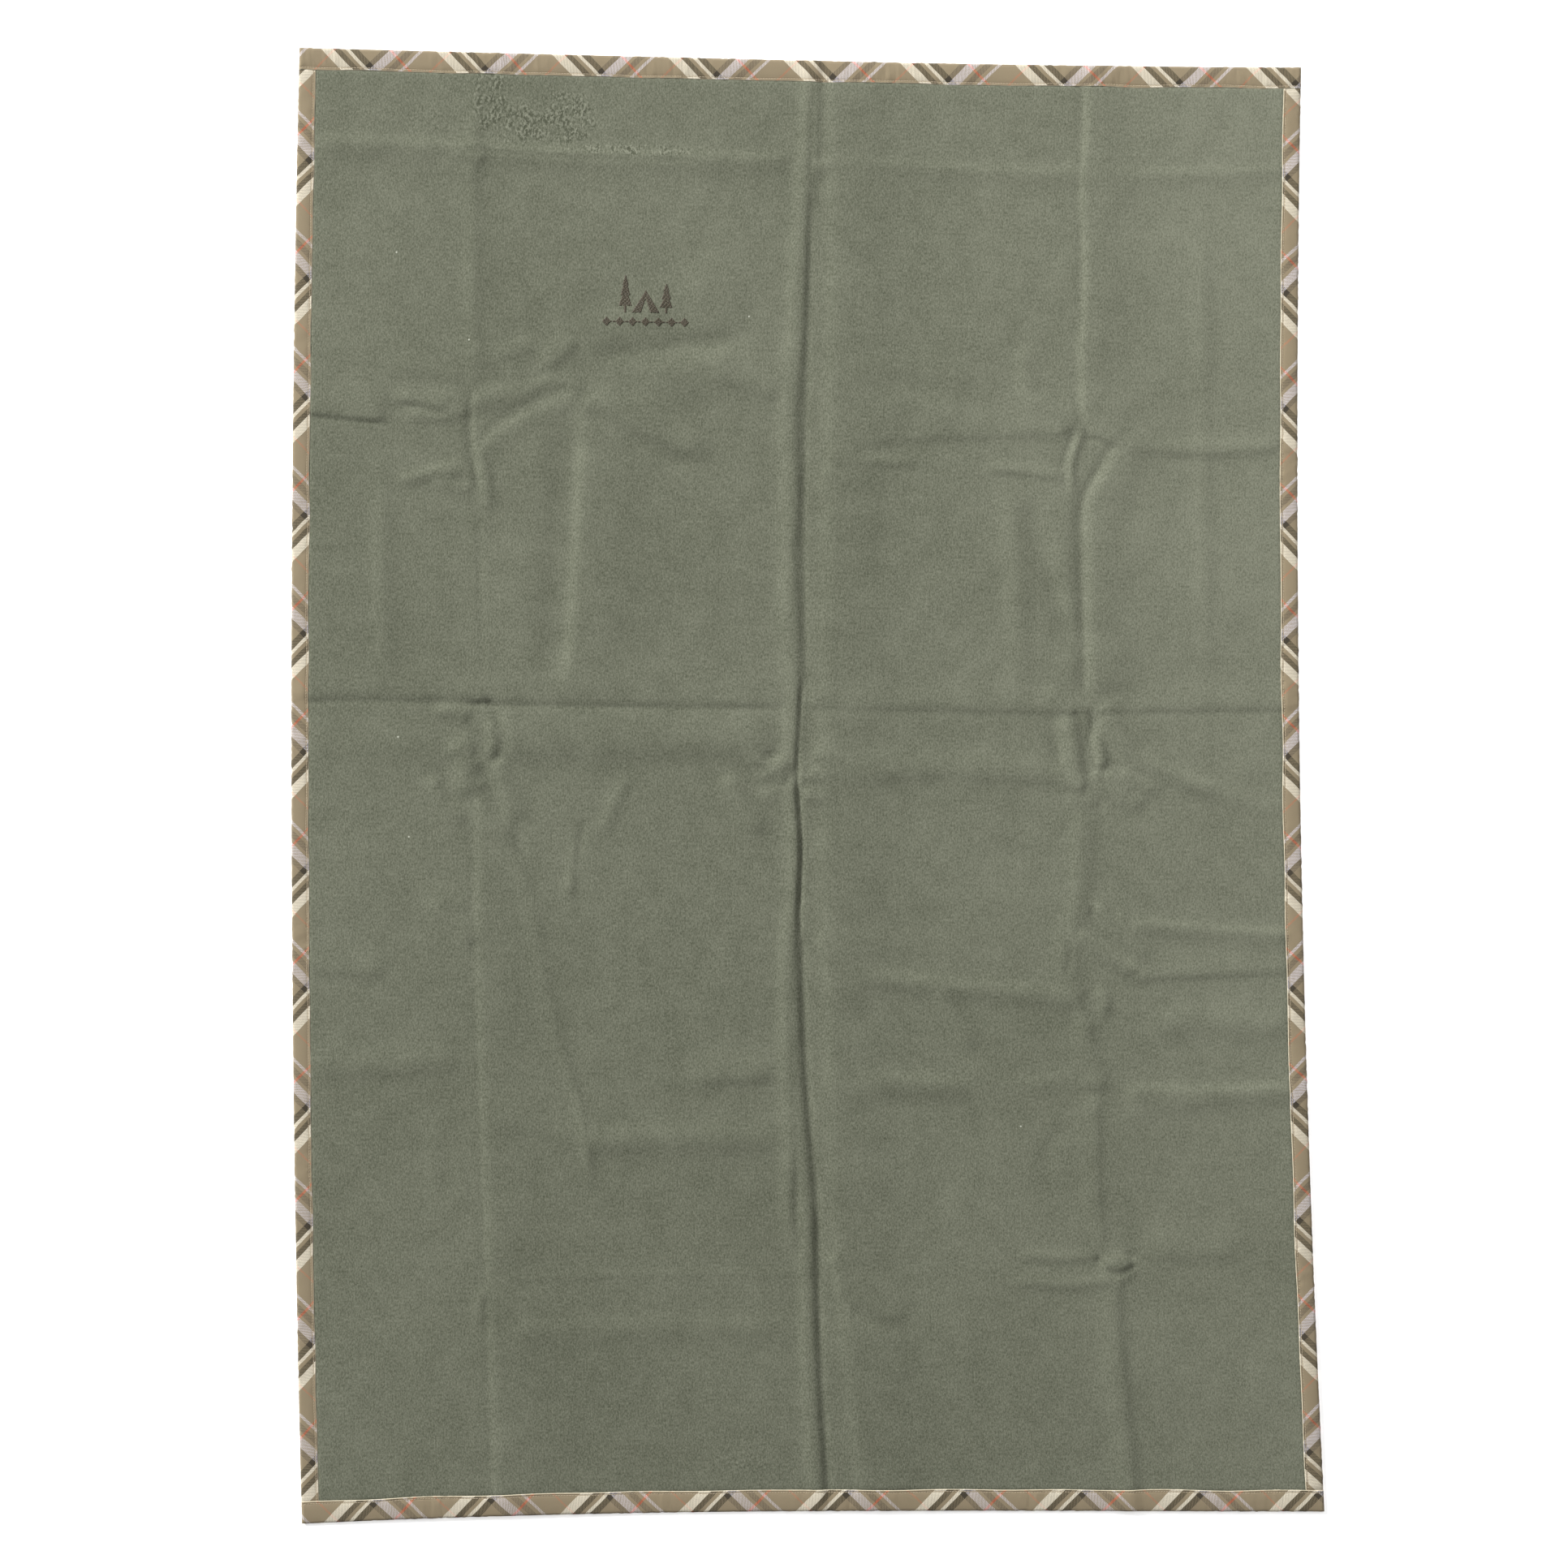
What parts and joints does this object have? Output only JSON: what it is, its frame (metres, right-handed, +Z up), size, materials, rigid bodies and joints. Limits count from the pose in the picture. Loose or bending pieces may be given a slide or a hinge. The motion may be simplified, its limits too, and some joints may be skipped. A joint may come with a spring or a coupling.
{
  "type": "camp blanket",
  "caption": "Rectangular fleece camp blanket with folded plaid binding stitched round its edges and a small embroidered emblem; it folds in half along its centre crease.",
  "frame": {"origin": "on the floor under the middle of the blanket lying flat", "axes": "+X to the right across the width, +Y along the length to the top edge that the emblem is near, +Z up out of the upper face"},
  "size_m": [0.98, 1.41, 0.004],
  "materials": {
    "sage_fleece": "matte",
    "plaid_binding": "matte",
    "seam_thread": "satin",
    "emblem_thread": "satin",
    "emblem_backing": "matte"
  },
  "bodies": {
    "left_half": {"fleece_left": "sage_fleece", "binding_left": "plaid_binding", "binding_top_left": "plaid_binding", "binding_bottom_left": "plaid_binding", "needle_thread_left": "seam_thread", "bobbin_thread_left": "seam_thread", "needle_thread_top_left": "seam_thread", "bobbin_thread_top_left": "seam_thread", "needle_thread_bottom_left": "seam_thread", "bobbin_thread_bottom_left": "seam_thread", "emblem_tent": "emblem_thread", "emblem_tall_pine": "emblem_thread", "emblem_small_pine": "emblem_thread", "emblem_diamond_row": "emblem_thread", "emblem_backing": "emblem_backing"},
    "right_half": {"fleece_right": "sage_fleece", "binding_right": "plaid_binding", "binding_top_right": "plaid_binding", "binding_bottom_right": "plaid_binding", "needle_thread_right": "seam_thread", "bobbin_thread_right": "seam_thread", "needle_thread_top_right": "seam_thread", "bobbin_thread_top_right": "seam_thread", "needle_thread_bottom_right": "seam_thread", "bobbin_thread_bottom_right": "seam_thread"}
  },
  "joints": [
    {"name": "centre_fold", "type": "hinge", "parent": "left_half", "child": "right_half", "pos_m": [0, 0, 0.007], "axis": [0, -1, 0], "range_deg": [0, 179.9]}
  ]
}
